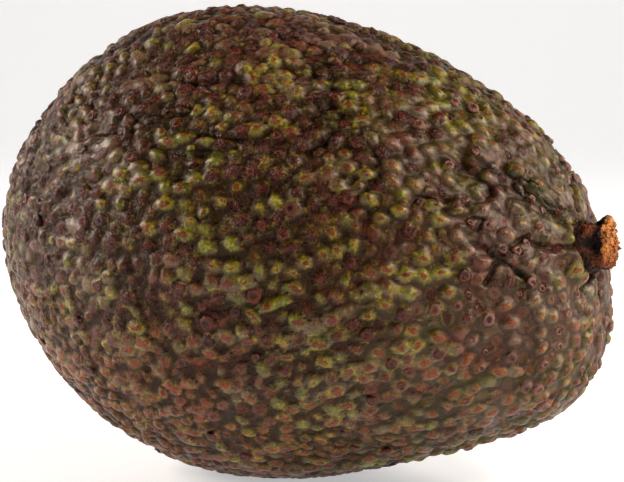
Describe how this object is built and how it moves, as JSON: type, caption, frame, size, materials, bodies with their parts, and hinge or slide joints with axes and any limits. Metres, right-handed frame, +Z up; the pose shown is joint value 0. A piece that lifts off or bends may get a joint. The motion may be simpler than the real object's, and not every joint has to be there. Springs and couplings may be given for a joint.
{
  "type": "avocado",
  "caption": "Whole ripe avocado with dark pebbled skin and a short corky stem stub, lying on its side on a small flat spot.",
  "frame": {"origin": "on the floor under the middle of the fruit and its stub", "axes": "+X towards the stem end, +Z up as the fruit lies at rest"},
  "size_m": [0.0984, 0.0724, 0.0715],
  "materials": {
    "skin": "waxy, pebbled, dark grey-brown over olive green",
    "stem": "dry corky bark with a broken fibrous end"
  },
  "bodies": {
    "root": {"fruit": "skin", "stem_stub": "stem"}
  },
  "joints": []
}
